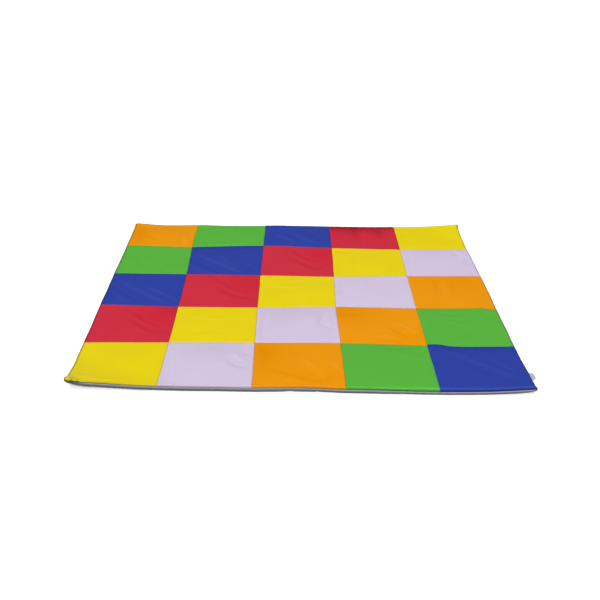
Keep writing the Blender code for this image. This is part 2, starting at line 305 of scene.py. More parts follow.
# Creases by square, (row from the back, column): points run from (0, 0), a square's back left
# corner, to (1, 1), its front right corner; rise is negative for a trough, in mm
Crease = namedtuple("Crease", "rise width points")
CREASES = {
    (2, 2): (
        Crease(1.2, 13, ((0.07, 0.27), (0.21, 0.42), (0.34, 0.56), (0.60, 0.80), (0.76, 0.92))),
        Crease(0.7, 10, ((0.36, 0.32), (0.46, 0.48), (0.58, 0.64), (0.72, 0.74))),
        Crease(-1.1, 10, ((0.08, 0.52), (0.20, 0.70), (0.34, 0.84), (0.46, 0.95))),
        Crease(0.8, 10, ((0.04, 0.68), (0.16, 0.84), (0.32, 0.97))),
        Crease(0.7, 9, ((0.80, 0.64), (0.88, 0.74), (0.95, 0.84))),
    ),
    (3, 1): (
        Crease(1.1, 13, ((0.14, 0.22), (0.28, 0.42), (0.40, 0.54), (0.62, 0.73), (0.82, 0.90))),
        Crease(0.9, 11, ((0.48, 0.38), (0.62, 0.53), (0.80, 0.67), (0.94, 0.80))),
        Crease(-1.1, 9, ((0.05, 0.42), (0.18, 0.60), (0.34, 0.76), (0.48, 0.92))),
        Crease(0.7, 10, ((0.16, 0.72), (0.26, 0.82), (0.36, 0.92))),
    ),
    (5, 5): (
        Crease(0.9, 12, ((0.18, 0.10), (0.34, 0.24), (0.47, 0.39), (0.66, 0.58), (0.88, 0.81))),
        Crease(0.7, 10, ((0.64, 0.32), (0.74, 0.44), (0.86, 0.60))),
        Crease(-0.9, 9, ((0.26, 0.30), (0.42, 0.50), (0.60, 0.70), (0.74, 0.84))),
        Crease(-0.6, 5, ((-0.2, 0.945), (0.3, 0.945), (0.7, 0.945), (1.1, 0.945))),
    ),
    (1, 3): (
        Crease(0.8, 13, ((0.16, 0.38), (0.24, 0.56), (0.38, 0.70), (0.44, 0.86))),
        Crease(0.9, 12, ((0.44, 0.34), (0.52, 0.52), (0.68, 0.73), (0.84, 0.90))),
        Crease(-1.0, 11, ((0.34, 0.48), (0.46, 0.63), (0.58, 0.78))),
        Crease(-1.0, 12, ((0.70, 0.40), (0.79, 0.60), (0.86, 0.72))),
    ),
    (3, 2): (
        Crease(-1.4, 12, ((0.29, 0.00), (0.42, 0.16), (0.54, 0.29), (0.66, 0.44))),
        Crease(-1.4, 11, ((0.46, 0.42), (0.60, 0.58), (0.71, 0.67), (0.84, 0.72), (1.0, 0.82))),
        Crease(0.6, 8, ((0.52, 0.38), (0.66, 0.53), (0.78, 0.62), (0.90, 0.64))),
        Crease(0.4, 9, ((0.40, 0.50), (0.52, 0.66), (0.64, 0.76))),
    ),
    (2, 3): (
        Crease(-1.3, 12, ((0.36, 0.04), (0.47, 0.24), (0.58, 0.38), (0.70, 0.50))),
        Crease(-1.4, 12, ((0.40, 0.42), (0.54, 0.57), (0.66, 0.68), (0.78, 0.73), (0.88, 0.66))),
        Crease(0.6, 8, ((0.44, 0.33), (0.58, 0.48), (0.70, 0.57), (0.84, 0.62))),
        Crease(0.5, 9, ((0.48, 0.66), (0.62, 0.78), (0.76, 0.84))),
    ),
    (4, 1): (
        Crease(-1.3, 12, ((0.34, 0.12), (0.50, 0.24), (0.60, 0.39), (0.73, 0.52), (0.88, 0.64))),
        Crease(-1.3, 11, ((0.42, 0.38), (0.55, 0.50), (0.68, 0.63), (0.81, 0.71), (0.95, 0.72))),
        Crease(0.6, 8, ((0.50, 0.32), (0.66, 0.49), (0.79, 0.59), (0.90, 0.62))),
        Crease(0.4, 9, ((0.44, 0.52), (0.58, 0.66), (0.72, 0.76))),
    ),
    (1, 4): (
        Crease(0.9, 13, ((0.54, 0.04), (0.52, 0.30), (0.51, 0.60), (0.50, 0.95))),
        Crease(-1.2, 10, ((0.36, 0.06), (0.38, 0.36), (0.39, 0.62))),
        Crease(-1.0, 10, ((0.72, 0.08), (0.75, 0.34), (0.76, 0.56))),
        Crease(1.0, 9, ((0.90, 0.18), (0.91, 0.50), (0.88, 0.86))),
    ),
    (1, 1): (
        Crease(-0.7, 14, ((0.14, 0.05), (0.16, 0.40), (0.20, 0.80))),
        Crease(0.7, 12, ((0.85, 0.46), (0.87, 0.70), (0.92, 0.95))),
        Crease(-0.8, 10, ((0.78, 0.62), (0.80, 0.80), (0.82, 0.95))),
        Crease(-0.8, 10, ((0.24, 0.50), (0.34, 0.62), (0.50, 0.82))),
    ),
    (4, 4): (
        Crease(-0.8, 16, ((0.02, 0.20), (0.16, 0.24), (0.32, 0.16))),
        Crease(0.8, 13, ((0.72, 0.40), (0.82, 0.54), (0.93, 0.70))),
        Crease(-0.9, 10, ((0.58, 0.50), (0.68, 0.64), (0.80, 0.80))),
        Crease(0.5, 10, ((0.42, 0.82), (0.52, 0.78), (0.66, 0.80))),
        Crease(-0.5, 9, ((0.46, 0.93), (0.58, 0.88), (0.70, 0.92))),
    ),
    (5, 3): (
        Crease(-0.7, 14, ((0.06, 0.06), (0.14, 0.30), (0.10, 0.52))),
        Crease(0.8, 12, ((0.54, 0.38), (0.66, 0.54), (0.73, 0.66), (0.75, 0.78))),
        Crease(0.7, 9, ((0.85, 0.36), (0.92, 0.50), (0.95, 0.62))),
        Crease(-0.6, 13, ((0.10, 0.50), (0.26, 0.65), (0.46, 0.76), (0.70, 0.86), (0.92, 0.72))),
        Crease(0.5, 8, ((0.34, 0.82), (0.44, 0.87), (0.54, 0.88))),
    ),
    (3, 5): (
        Crease(-0.9, 9, ((0.34, 0.10), (0.33, 0.36), (0.28, 0.64))),
        Crease(0.8, 8, ((0.45, 0.14), (0.44, 0.40), (0.41, 0.66))),
        Crease(-0.7, 8, ((0.57, 0.20), (0.55, 0.44), (0.50, 0.66))),
    ),
    (5, 2): (
        Crease(-0.9, 9, ((0.66, 0.34), (0.74, 0.48), (0.82, 0.56), (0.92, 0.60))),
        Crease(0.9, 8, ((0.74, 0.24), (0.83, 0.38), (0.93, 0.47))),
        Crease(-0.8, 8, ((0.82, 0.18), (0.88, 0.27), (0.96, 0.33))),
        Crease(0.6, 7, ((0.09, 0.28), (0.12, 0.55), (0.15, 0.86))),
    ),
    (4, 3): (
        Crease(0.9, 9, ((0.91, 0.12), (0.86, 0.32), (0.90, 0.50))),
        Crease(-0.7, 9, ((0.81, 0.22), (0.76, 0.40), (0.82, 0.57), (0.95, 0.66))),
        Crease(0.7, 7, ((0.14, 0.10), (0.13, 0.50), (0.14, 0.92))),
        Crease(-0.6, 7, ((0.07, 0.10), (0.06, 0.50), (0.07, 0.92))),
    ),
    (2, 5): (
        Crease(0.7, 8, ((0.15, 0.20), (0.12, 0.55), (0.11, 0.88))),
        Crease(-0.9, 9, ((0.70, 0.08), (0.76, 0.18), (0.74, 0.28))),
        Crease(0.9, 9, ((0.82, 0.08), (0.86, 0.20), (0.84, 0.30))),
        Crease(-0.8, 9, ((0.92, 0.34), (0.88, 0.50), (0.91, 0.64))),
    ),
    (3, 4): (
        Crease(0.5, 12, ((0.88, 0.10), (0.90, 0.44), (0.84, 0.80))),
        Crease(-0.4, 11, ((0.08, 0.10), (0.06, 0.50), (0.12, 0.90))),
    ),
    (2, 4): (
        Crease(0.5, 10, ((0.36, 0.30), (0.40, 0.62), (0.42, 0.90))),
        Crease(-0.5, 10, ((0.28, 0.30), (0.30, 0.60), (0.28, 0.84))),
        Crease(-0.7, 9, ((0.05, 0.10), (0.18, 0.14), (0.34, 0.10))),
    ),
    (1, 5): (
        Crease(-0.8, 12, ((0.06, 0.16), (0.10, 0.36), (0.08, 0.56))),
        Crease(0.8, 10, ((0.97, 0.60), (0.90, 0.74), (0.94, 0.88))),
        Crease(0.5, 12, ((0.70, 0.20), (0.80, 0.35), (0.76, 0.50))),
    ),
    (4, 2): (
        Crease(0.4, 12, ((0.15, 0.25), (0.45, 0.35), (0.80, 0.30))),
        Crease(-0.4, 11, ((0.20, 0.78), (0.50, 0.72), (0.80, 0.82))),
    ),
    (5, 1): (
        Crease(-1.0, 6, ((0.04, 0.88), (0.12, 0.93), (0.22, 0.92))),
        Crease(0.8, 7, ((0.06, 0.80), (0.16, 0.86), (0.30, 0.84))),
        Crease(0.7, 7, ((0.14, 0.95), (0.30, 0.91), (0.50, 0.93), (0.66, 0.90))),
        Crease(-0.5, 7, ((0.20, 0.97), (0.40, 0.96), (0.60, 0.97))),
    ),
    (1, 2): (
        Crease(-0.7, 9, ((0.10, 0.80), (0.40, 0.84), (0.80, 0.78))),
        Crease(0.8, 8, ((0.16, 0.90), (0.44, 0.92), (0.74, 0.90))),
    ),
    (2, 1): (
        Crease(0.4, 12, ((0.22, 0.24), (0.36, 0.52), (0.62, 0.74))),
        Crease(-0.6, 8, ((0.04, 0.40), (0.06, 0.54), (0.04, 0.66))),
    ),
    (4, 5): (
        Crease(0.5, 12, ((0.18, 0.30), (0.44, 0.44), (0.70, 0.74))),
        Crease(-0.6, 10, ((0.18, 0.12), (0.40, 0.20), (0.62, 0.16))),
    ),
    (3, 3): (
        Crease(0.4, 12, ((0.14, 0.30), (0.42, 0.38), (0.72, 0.26))),
    ),
    (5, 4): (
        Crease(-0.6, 8, ((0.30, 0.08), (0.56, 0.11), (0.84, 0.08))),
        Crease(0.5, 11, ((0.62, 0.18), (0.78, 0.30), (0.92, 0.34))),
    ),
}

CREASE_PAINTED_SHADING = 0.08              # painted shade in a trough and painted highlight on a ridge, by the mm
CREASE_STEPS = 28               # places along a crease

# Areas of painted shade where the vinyl turns from the light, and of a deeper colour with lower
# specular where less sheen shows, by square: both shares, then middle and reach, counted like the
# creases' points. A dark share below 0 is a painted highlight
PaintedArea = namedtuple("PaintedArea", "dark deep across along reach_across reach_along")
RED_PAINTED_AREA = PaintedArea(0.03, 0.95, 0.88, 0.26, 0.44, 0.44)
PAINTED_AREAS = {
    (2, 3): (RED_PAINTED_AREA,),
    (3, 2): (RED_PAINTED_AREA,),
    (4, 1): (RED_PAINTED_AREA, PaintedArea(0.26, 0.2, 1.0, 0.0, 0.16, 0.16)),
    (1, 4): (
        PaintedArea(0.72, 0.6, 0.45, 0.00, 0.95, 0.17),
        PaintedArea(0.14, 1.0, 0.36, 0.18, 0.80, 0.22),
        PaintedArea(0.03, 0.6, 0.50, 0.50, 0.80, 0.30),
        PaintedArea(0.12, 0.2, 0.36, 0.30, 0.10, 0.26),
        PaintedArea(0.14, 0.2, 0.74, 0.26, 0.09, 0.24),
        PaintedArea(0.07, 0.0, 0.50, 1.00, 0.90, 0.30),
    ),
    (4, 4): (
        PaintedArea(0.09, 1.0, 0.10, 0.10, 0.34, 0.34),
        PaintedArea(0.02, 0.9, 0.86, 0.88, 0.24, 0.20),
    ),
    (5, 3): (
        PaintedArea(0.09, 1.0, 0.06, 0.16, 0.26, 0.40),
        PaintedArea(0.02, 0.7, 0.66, 0.80, 0.30, 0.20),
    ),
    (1, 1): (
        PaintedArea(0.12, 1.0, 0.05, 0.36, 0.18, 0.60),
        PaintedArea(0.03, 0.8, 0.24, 0.66, 0.20, 0.40),
    ),
    (3, 5): (PaintedArea(0.04, 0.8, 0.60, 0.16, 0.50, 0.26),),
    (4, 3): (PaintedArea(0.08, 0.0, 0.50, 0.08, 0.80, 0.26),),
    (5, 2): (PaintedArea(0.08, 0.0, 0.52, 0.12, 0.50, 0.26),),
    (2, 5): (PaintedArea(0.08, 0.0, 0.60, 0.00, 0.80, 0.14),),
    (2, 2): (PaintedArea(0.16, 0.5, 0.50, 0.02, 0.70, 0.10),),
    (5, 5): (PaintedArea(0.16, 0.5, 0.40, 0.02, 0.60, 0.10),),
    (1, 5): (PaintedArea(0.05, 0.6, 0.60, 0.40, 0.70, 0.60),),
    (5, 1): (
        PaintedArea(-0.16, 0.0, 0.12, 1.0, 0.30, 0.22),
        PaintedArea(0.55, 0.3, 0.00, 1.00, 0.022, 0.08),
        PaintedArea(0.22, 0.2, 0.03, 0.98, 0.05, 0.05),
        PaintedArea(0.75, 0.3, 0.085, 0.99, 0.012, 0.022),
        PaintedArea(0.75, 0.3, 0.140, 0.99, 0.012, 0.022),
    ),
}


def along_curve(points, count):
    """Evenly spaced places on a smooth curve through the points."""
    points = np.array(points, dtype=float)
    weights = spline_weights(np.linspace(0, len(points) - 1, count), len(points))
    return weights.T @ points


def creasing(row, column, right, back):
    """Height of one square's creases, which flatten and narrow towards their ends.

    Row and column count from the back left, from 1.
    """
    total = np.zeros_like(right)
    left_edge = (column - 1) * SIDE - HALF
    back_edge = HALF - (row - 1) * SIDE
    for crease in CREASES.get((row, column), ()):
        path = along_curve(crease.points, CREASE_STEPS)
        place_x = left_edge + path[:, 0] * SIDE
        place_y = back_edge - path[:, 1] * SIDE
        away = np.hypot(right[:, None] - place_x, back[:, None] - place_y)
        nearest = away.argmin(axis=1)
        ends = np.sin(np.pi * (nearest + 0.5) / len(path)) ** 0.5
        width = crease.width * MM * (0.7 + 0.3 * ends)
        total += crease.rise * MM * ends * np.exp(-(away.min(axis=1) / width) ** 2)
    return total


# Gathers along the stitching: their height, and how far from it they reach
RIM_PUCKER = 0.28 * MM
RIM_PUCKER_REACH = 22 * MM
SEAM_PUCKER = 0.09 * MM
SEAM_PUCKER_REACH = 12 * MM


def rim_pucker(right, back):
    """Small gathers across the rim, fading inwards."""
    total = np.zeros_like(right)
    for place, along, phase in ((HALF - np.abs(right), back, 0.7), (HALF - np.abs(back), right, 2.1)):
        swing = np.sin(along / 0.0057 + phase + 1.4 * np.sin(along / 0.041))
        strength = 0.35 + 0.65 * np.abs(np.sin(along / 0.087 + 2 * phase))
        total += RIM_PUCKER * swing * strength * np.exp(-(place / RIM_PUCKER_REACH) ** 2)
    return total


def seam_pucker(right, back):
    """Small gathers across the seams between squares."""
    total = np.zeros_like(right)
    for place, along in ((right, back), (back, right)):
        nearest = np.abs((place + HALF + SIDE / 2) % SIDE - SIDE / 2)
        swing = np.sin(along / 0.0049 + 9 * place + 1.1 * np.sin(along / 0.033 + 5 * place))
        strength = 0.3 + 0.7 * np.abs(np.sin(along / 0.071 + 7 * place))
        total += SEAM_PUCKER * swing * strength * np.exp(-(nearest / SEAM_PUCKER_REACH) ** 2)
    return total


def seam_distance(place):
    """Distance to the nearest seam between two squares."""
    line = np.clip(np.round((place + HALF) / SIDE), 1, SQUARES - 1)
    return np.abs(place + HALF - line * SIDE)


# Soft unevenness of the top: height, size of its humps and seed
UNEVENNESS = ((0.35 * MM, 85 * MM, 5), (0.10 * MM, 31 * MM, 8))


def top_height(row, column, right, back):
    """Height of the outer face of a square above the floor, without the lift of the corners."""
    away_x, away_y = seam_distance(right), seam_distance(back)
    dip = SEAM_DIP * np.exp(-(np.minimum(away_x, away_y) / DIP_REACH) ** 2)
    dip += CROSSING_DIP * np.exp(-(np.hypot(away_x, away_y) / CROSSING_REACH) ** 2)
    height = TOP_HEIGHT + crown(right, back) + swelling(right, back) - dip
    height += creasing(row, column, right, back)
    height += rim_pucker(right, back) + seam_pucker(right, back)
    height += sum(rise * uneven(right, back, cell, seed) for rise, cell, seed in UNEVENNESS)
    return height


# One line of a sheet's grid: its place, how far it drops below the face, how much of the rim's
# rise it has, how far it turns under the roll, and how much painted shade it carries
Line = namedtuple("Line", "place drop rise under fold")


def seam_lines(seam, inwards, depth, edge_shade=0.0):
    """Lines of the edge folded down at a seam, from the foot of the bend to its shoulder, with painted
    shade in the bend.
    """
    radius = FOLD - depth
    foot = seam + inwards * (SEAM_GAP + depth)
    lines = [Line(foot, FOLD_FOOT - depth, 1, 0, 1)]
    lines.append(Line(foot + inwards * FOLD_SLANT, radius + FOLD_WALL, 1, 0, 1))
    for angle in FOLD_ANGLES:
        turn = math.radians(angle)
        place = seam + inwards * (SEAM_GAP + FOLD - radius * math.cos(turn))
        # Painted shade in the bend, and on the slope into the seam at a square's front edge
        fold = max(edge_shade, BEND_PAINTED_SHADE * math.cos(turn) ** 2)
        lines.append(Line(place, radius * (1 - math.sin(turn)), 1, 0, fold))
    for away in NEAR_SEAM:
        fold = edge_shade * math.exp(-(away / EDGE_SHADE_REACH) ** 2)
        lines.append(Line(seam + inwards * away, 0, 1, 0, fold))
    return lines


def rim_lines(side, depth, shade):
    """Lines of the roll at a rim, from the edge turned in under it to its shoulder."""
    radius = UNDERFOLD - depth
    # Painted shade of the seam's crevice: full on the turned-in edge, fading up the roll
    lines = [Line(side * (HALF - RIM_INSET - TAIL), 0, 0, radius, 1)]
    for angle in UNDERFOLD_ANGLES:
        turn = math.radians(angle)
        inset = RIM_INSET + UNDERFOLD - radius * math.cos(turn)
        lines.append(Line(side * (HALF - inset), 0, 0, radius * math.sin(turn), 1))
    for angle in ROLL_ANGLES:
        turn = math.radians(angle)
        inset = RIM_INSET + TOP_ROLL - (TOP_ROLL - depth) * math.cos(turn)
        fold = math.exp(-(angle / shade) ** 2)
        lines.append(Line(side * (HALF - inset), 0, math.sin(turn), 0, fold))
    for away in NEAR_RIM:
        lines.append(Line(side * (HALF - away), 0, 1, 0, 0))
    return lines


def square_lines(number, depth, shade, edge_shade=0.0):
    """Lines across one square of a row, counted from 0."""
    start = number * SIDE - HALF
    end = start + SIDE
    first = rim_lines(-1, depth, shade) if number == 0 else seam_lines(start, 1, depth, edge_shade)
    last = rim_lines(1, depth, shade) if number == SQUARES - 1 else seam_lines(end, -1, depth)
    steps = np.linspace(first[-1].place, last[-1].place, STEPS + 2)[1:-1]
    return first + [Line(place, 0, 1, 0, 0) for place in steps] + last[::-1]


# Where along the front rim the side seam gapes or hangs lower, in mm: place, reach and rise
GAPES = (
    (-723, 4.5, 2.6), (-707, 4, 2.2), (-640, 60, 0.9),
    (20, 18, 0.4), (435, 110, -3.4), (640, 9, 0.5),
)
GAPE_DEPTH = 30 * MM            # how far in from the rim they reach


def gape(right, back):
    """Height by which the squares' edge stands off the side seam, below 0 where it hangs lower."""
    total = np.zeros_like(right)
    for place, reach, rise in GAPES:
        near = np.exp(-((right - place * MM) / (reach * MM)) ** 2)
        total += rise * MM * near * np.exp(-((back + HALF) / GAPE_DEPTH) ** 2)
    return total


def mitred(place, turned, depth):
    """Places drawn in from the rim where the other edge is turned in, so that corners meet."""
    inset = HALF - np.abs(place)
    inset = np.hypot(inset, (RIM_INSET + UNDERFOLD) * turned / (UNDERFOLD - depth))
    return np.where(turned > 0, np.sign(place) * (HALF - inset), place)


def skin(row, column, across, along, depth):
    """Points of one skin of a square: for each line across, its crossings with every line along."""
    u = np.array(across, dtype=float)
    v = np.array(along, dtype=float)
    right = np.repeat(u[:, 0], len(v))
    back = np.tile(v[:, 0], len(u))
    turned_x, turned_y = np.repeat(u[:, 3], len(v)), np.tile(v[:, 3], len(u))
    right, back = mitred(right, turned_y, depth), mitred(back, turned_x, depth)
    drop = np.maximum(np.repeat(u[:, 1], len(v)), np.tile(v[:, 1], len(u)))
    rise = np.repeat(u[:, 2], len(v)) * np.tile(v[:, 2], len(u))
    under = np.maximum(turned_x, turned_y)
    seam = side_seam_height(right) + SEAM_RISE + gape(right, back)
    seam += RIGHT_SEAM_RISE * np.clip(right / SIDE, 0, 1)
    height = top_height(row, column, right, back) - depth - drop
    x, y = laid_out(right, back, column)
    z = seam + (height - seam) * rise - under + corner_lift(right, back)
    return np.stack((x, y, z), axis=1)


def grid_faces(rows, columns, start, facing_up):
    """Quads of a grid whose vertices are numbered row by row."""
    index = np.arange(rows * columns).reshape(rows, columns) + start
    corners = (index[:-1, :-1], index[1:, :-1], index[1:, 1:], index[:-1, 1:])
    quads = np.stack([corner.ravel() for corner in corners], axis=1)
    return quads if facing_up else quads[:, ::-1]


def grid_rim(rows, columns, start):
    """Rim vertices of a grid, anticlockwise from above."""
    index = np.arange(rows * columns).reshape(rows, columns) + start
    parts = (index[:, 0], index[-1, 1:], index[-2::-1, -1], index[0, -2:0:-1])
    return np.concatenate(parts)


def band_faces(upper, lower):
    """Quads between two closed rows of vertices."""
    return np.stack((upper, lower, np.roll(lower, -1), np.roll(upper, -1)), axis=1)


def add_piece(name, points, faces, material, node, sharp=50):
    """A piece of the mat, which rides on the root body and stands for a CAD node."""
    data = bpy.data.meshes.new(name)
    data.from_pydata(points.tolist(), [], [face.tolist() for face in faces])
    data.validate()
    data.shade_smooth()
    data.set_sharp_from_angle(angle=math.radians(sharp))
    data.materials.append(material)
    piece = bpy.data.objects.new(name, data)
    bpy.context.scene.collection.objects.link(piece)
    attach(piece, "root")
    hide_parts(node)
    return piece


def add_value(piece, name, values):
    """A number for each vertex, which the piece's material reads by name."""
    attribute = piece.data.attributes.new(name, "FLOAT", "POINT")
    attribute.data.foreach_set("value", np.asarray(values, dtype=np.float32))


def shading(row, column, across, along):
    """Painted shade and deepened colour of each point of a sheet's grid, up to 1.

    A painted highlight, on a ridge or the front roll, is below 0 in the first.
    """
    u = np.array([line.fold for line in across])
    v = np.array([line.fold for line in along])
    right = np.repeat([line.place for line in across], len(v))
    back = np.tile([line.place for line in along], len(u))
    # Painted shade of seams and rims, stronger to the right and spread up the front roll in the left
    # half
    towards_right = np.clip(right / SIDE, 0, 1)
    strength = LEFT_EDGE_SHARE + (RIGHT_EDGE_SHARE - LEFT_EDGE_SHARE) * towards_right
    at_rim = back < NEAR_RIM[0] - HALF
    power = np.where(at_rim, LEFT_SPREAD + (1 - LEFT_SPREAD) * towards_right, 1)
    total = np.maximum(np.repeat(u, len(v)), np.tile(v, len(u)) ** power * strength)
    # Painted highlight along the front roll
    inset = back + HALF - ROLL_LIGHT_INSET
    painted_highlight = ROLL_PAINTED_HIGHLIGHT * np.clip(right / HALF, 0, 1) * np.exp(-(inset / ROLL_LIGHT_REACH) ** 2)
    total = total - painted_highlight
    within_x = (right + HALF) / SIDE - (column - 1)
    within_y = (HALF - back) / SIDE - (row - 1)
    # Painted shade in crease troughs and painted highlight on ridges
    total = total - CREASE_PAINTED_SHADING * creasing(row, column, right, back) / MM * (1 - total)
    deep = np.zeros_like(total)
    # Painted shade, painted highlights and deepened colour of the listed areas
    for painted_area in PAINTED_AREAS.get((row, column), ()):
        away = ((within_x - painted_area.across) / painted_area.reach_across) ** 2
        away += ((within_y - painted_area.along) / painted_area.reach_along) ** 2
        total = total + painted_area.dark * np.exp(-away) * (1 - total)
        deep = deep + painted_area.deep * np.exp(-away) * (1 - deep)
    return total, deep


def make_square(row, column, material):
    """One vinyl square, a thin closed sheet; row and column count from the back left, from 1."""
    side_shade = LEFT_SHADE if column == 1 else RIGHT_SHADE
    end_shade = BACK_SHADE if row == 1 else FRONT_SHADE
    outer_lines, inner_lines = [
        (square_lines(column - 1, depth, side_shade),
         square_lines(SQUARES - row, depth, end_shade, EDGE_SHADE))
        for depth in (0.0, VINYL)
    ]
    rows, columns = len(outer_lines[0]), len(outer_lines[1])
    outer = skin(row, column, *outer_lines, 0.0)
    inner = skin(row, column, *inner_lines, VINYL)
    total = rows * columns
    faces = list(grid_faces(rows, columns, 0, True))
    faces += list(grid_faces(rows, columns, total, False))
    faces += list(band_faces(grid_rim(rows, columns, 0), grid_rim(rows, columns, total)))
    name = f"square_r{row}_c{column}"
    node = f"panel_r{row}_c{column}"
    piece = add_piece(name, np.concatenate((outer, inner)), faces, material, node)
    for attribute, shades in zip(("fold", "deep"), shading(row, column, *outer_lines)):
        add_value(piece, attribute, np.concatenate((shades, shades)))
    return piece


# Rings of the base, from the bed under the squares, over the side, to the underside
AROUND = 2400                   # vertices around the rim
BED_DEPTH = 3.6 * MM            # bed below the bottom of the seams
LEDGE_DROP = 1.0 * MM           # top of the grey edge below the CAD's seam height
CORNER_LEDGE_RISE = 0.5 * MM    # how much higher that is at the corners
CORNER_LEDGE_REACH = 9 * MM
LEDGE_FOLLOW = 0.5              # share of a low place of the squares' edge that the grey edge follows
LOWER_SIDE_SHADE = 0.95         # painted shade on the grey side, darker towards the floor
# Painted shade on the grey edge at the front corners: side, share and reach
CORNER_SHADES = ((-1, 1.0, 62 * MM), (1, 0.6, 14 * MM))
SIDE_FOLD = 1.4 * MM            # radius of the grey edge at the side seam
SIDE_FOLD_ANGLES = (90, 65, 40, 18, 0)
SIDE_FOLD_SHADE = 0.7           # painted shade on the grey edge at its top, under the roll
SIDE_FOLD_PUCKER_UP = 0.4       # shares of the side's gathers in the grey edge, up and out
SIDE_FOLD_PUCKER_OUT = 0.5
SIDE_ANGLES = (6, 13, 21, 30, 39, 49, 59, 69, 80, 90)
SIDE_SHADE_ANGLE = 26           # angle down the side from which its painted shade is full
SIDE_BULGE = 0.35 * MM          # how far the side bulges half-way round its roll
SIDE_PUCKER = 0.36 * MM         # size of its gathers
# Insets in mm of the rings in the bed and the underside
BED_INSETS = (700, 500, 300, 150, 60, 25, 12)
UNDERSIDE_INSETS = (12, 25, 60, 150, 300, 500, 700)
# Rings of the ledge between the bed and the side: inset and drop
LEDGE_RINGS = ((6.5 * MM, 0), (4 * MM, 0.2 * MM))


def around(inset):
    """Places on a square ring at an inset from the rim, anticlockwise from the front left."""
    quarter = AROUND // 4
    step = np.arange(quarter) / quarter * 2 - 1
    right = np.concatenate((step, np.ones(quarter), -step, -np.ones(quarter)))
    back = np.concatenate((-np.ones(quarter), step, np.ones(quarter), -step))
    return right * (HALF - inset), back * (HALF - inset)


def base_roll(right, back):
    """Width of the roll under the side, wider where a corner is pinched up."""
    away = (HALF - np.minimum(np.abs(right), np.abs(back))) / CORNER_REACH
    return BASE_ROLL + (CORNER_BASE_ROLL - BASE_ROLL) * np.exp(-away ** 2)


# Pinched corners, by side and end: share by which the underside is drawn up, and reach
CORNER_PINCH = {
    (-1, -1): (0.20, 32 * MM),
    (1, -1): (0.18, 24 * MM),
    (-1, 1): (0.35, 40 * MM),
    (1, 1): (0.35, 40 * MM),
}
FRONT_PINCH = 0.12              # more at the left end of the front rim, fading to the right
PINCH_REACH = 45 * MM
# Tucks drawn up into the front side, place and reach in mm, then share
TUCKS = (
    (-665, 75, 0.04), (-30, 16, 0.16), (59, 7, 0.10),
    (100, 30, 0.09), (330, 40, 0.12), (640, 130, 0.12),
)


def pinch(right, back):
    """Share by which the underside is drawn up to the side seam."""
    total = np.zeros_like(right)
    for (side, end), (share, reach) in CORNER_PINCH.items():
        away = np.hypot(HALF - side * right, HALF - end * back)
        total += share * np.exp(-(away / reach) ** 2)
    front = np.exp(-((back + HALF) / PINCH_REACH) ** 2)
    total += FRONT_PINCH * (HALF - right) / (2 * HALF) * front
    for place, reach, share in TUCKS:
        total += share * np.exp(-((right - place * MM) / (reach * MM)) ** 2) * front
    return total


def side_pucker(travel):
    """Gathers along the grey side, out of the side in metres."""
    swing = np.sin(travel / 0.0047 + 1.9 * np.sin(travel / 0.037))
    swing += 0.8 * np.sin(travel / 0.0125 + 1.3 * np.sin(travel / 0.083) + 2)
    strength = 0.2 + 0.8 * np.abs(np.sin(travel / 0.113 + 0.5)) ** 2
    return SIDE_PUCKER * swing * strength


